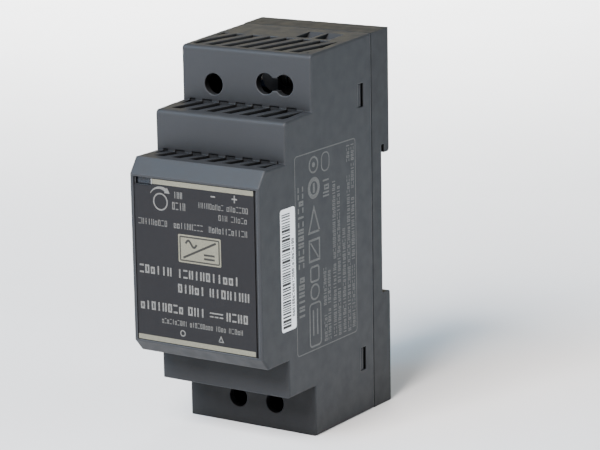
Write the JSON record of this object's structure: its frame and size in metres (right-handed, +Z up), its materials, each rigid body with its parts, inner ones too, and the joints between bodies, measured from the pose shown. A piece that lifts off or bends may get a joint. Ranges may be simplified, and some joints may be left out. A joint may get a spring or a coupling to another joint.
{
  "type": "din rail power supply",
  "caption": "Slim stepped power supply for a 35 mm top-hat rail, with a sliding rail foot, screw terminals and a trimmer.",
  "frame": {"origin": "middle of the width and depth, on the bottom face", "axes": "+Z up along the case, -Y out of the front panel, +Y towards the rail, +X to the right seen from the front"},
  "size_m": [0.0351, 0.0544, 0.09],
  "materials": {
    "case_plastic": "fine spark-eroded texture, slate grey",
    "cover_plastic": "fine spark-eroded texture, slate grey",
    "foot_plastic": "satin black",
    "panel_print": "printed film",
    "paper": "white label stock",
    "clear_plastic": "smoky clear",
    "spring_steel": "drawn wire",
    "board_laminate": "green solder mask",
    "film": "polyester film",
    "led_lens": "diffused green",
    "black_moulding": "moulded",
    "green_coating": "dipped coating",
    "blue_coating": "dipped coating",
    "yellow_box": "moulded box",
    "ferrite": "ground ferrite",
    "enamelled_copper": "enamelled wire",
    "epoxy": "moulded epoxy",
    "can_sleeve": "shrink sleeve",
    "aluminium": "mill finish",
    "zinc_steel": "zinc plated",
    "winding_tape": "polyester tape",
    "terminal_plastic": "moulded",
    "tinned_brass": "tinned",
    "trimmer_moulding": "moulded",
    "trimmer_white": "moulded"
  },
  "bodies": {
    "root": {"bridge_rectifier": "epoxy", "bulk_capacitor": "can_sleeve", "chip_resistors": "epoxy", "choke_base": "black_moulding", "choke_core": "ferrite", "choke_windings": "enamelled_copper", "clip_spring": "spring_steel", "contact_bar_line": "tinned_brass", "contact_bar_minus": "tinned_brass", "contact_bar_neutral": "tinned_brass", "contact_bar_plus": "tinned_brass", "controller_chip": "epoxy", "diode_heatsink": "aluminium", "front_housing": "case_plastic", "front_label": "panel_print", "fuse": "black_moulding", "heatsink_nuts": "zinc_steel", "heatsink_screws": "zinc_steel", "indicator_light_pipe": "clear_plastic", "input_terminal_block": "terminal_plastic", "inrush_thermistor": "green_coating", "insulation_film": "film", "main_board": "board_laminate", "mosfet_heatsink": "aluminium", "optocoupler": "epoxy", "output_capacitor_left": "can_sleeve", "output_capacitor_right": "can_sleeve", "output_choke_core": "ferrite", "output_choke_winding": "enamelled_copper", "output_diode": "epoxy", "output_terminal_block": "terminal_plastic", "power_mosfet": "epoxy", "rear_cover": "cover_plastic", "serial_label": "paper", "status_led": "led_lens", "transformer_bobbin": "black_moulding", "transformer_core": "ferrite", "transformer_winding": "winding_tape", "trimmer_body": "trimmer_moulding", "varistor": "blue_coating", "x_capacitor": "yellow_box", "y_capacitor": "blue_coating"},
    "cage_line": {"clamp_cage_line": "zinc_steel"},
    "cage_minus": {"clamp_cage_minus": "zinc_steel"},
    "cage_neutral": {"clamp_cage_neutral": "zinc_steel"},
    "cage_plus": {"clamp_cage_plus": "zinc_steel"},
    "rail_foot": {"rail_clip": "foot_plastic"},
    "screw_line": {"terminal_screw_line": "zinc_steel"},
    "screw_minus": {"terminal_screw_minus": "zinc_steel"},
    "screw_neutral": {"terminal_screw_neutral": "zinc_steel"},
    "screw_plus": {"terminal_screw_plus": "zinc_steel"},
    "trimmer": {"trimmer_rotor": "trimmer_white"}
  },
  "joints": [
    {"name": "rail_foot_slide", "type": "slide", "parent": "root", "child": "rail_foot", "axis": [0, 0, -1], "range_m": [0, 0.005], "stiffness_N_per_m": 1500, "springref_m": -0.002, "deforming": ["clip_spring"]},
    {"name": "trimmer_turn", "type": "hinge", "parent": "root", "child": "trimmer", "pos_m": [-0.0088, 0, 0.0796], "axis": [0, 1, 0], "range_deg": [-135, 135]},
    {"name": "cage_minus_rise", "type": "slide", "parent": "root", "child": "cage_minus", "axis": [0, -1, 0], "range_m": [0, 0.002]},
    {"name": "screw_minus_turn", "type": "hinge", "parent": "root", "child": "screw_minus", "pos_m": [0.0053, 0, 0.0808], "axis": [0, 1, 0], "range_deg": [0, 1440]},
    {"name": "cage_plus_rise", "type": "slide", "parent": "root", "child": "cage_plus", "axis": [0, -1, 0], "range_m": [0, 0.002]},
    {"name": "screw_plus_turn", "type": "hinge", "parent": "root", "child": "screw_plus", "pos_m": [0.01038, 0, 0.0808], "axis": [0, 1, 0], "range_deg": [0, 1440]},
    {"name": "cage_neutral_rise", "type": "slide", "parent": "root", "child": "cage_neutral", "axis": [0, -1, 0], "range_m": [0, 0.002]},
    {"name": "screw_neutral_turn", "type": "hinge", "parent": "root", "child": "screw_neutral", "pos_m": [-0.0039, 0, 0.0063], "axis": [0, 1, 0], "range_deg": [0, 1440]},
    {"name": "cage_line_rise", "type": "slide", "parent": "root", "child": "cage_line", "axis": [0, -1, 0], "range_m": [0, 0.002]},
    {"name": "screw_line_turn", "type": "hinge", "parent": "root", "child": "screw_line", "pos_m": [0.00626, 0, 0.0063], "axis": [0, 1, 0], "range_deg": [0, 1440]}
  ],
  "couplings": [
    {"joint": "screw_minus_turn", "follows": "cage_minus_rise", "rad_per_m": 12566},
    {"joint": "screw_plus_turn", "follows": "cage_plus_rise", "rad_per_m": 12566},
    {"joint": "screw_neutral_turn", "follows": "cage_neutral_rise", "rad_per_m": 12566},
    {"joint": "screw_line_turn", "follows": "cage_line_rise", "rad_per_m": 12566}
  ]
}
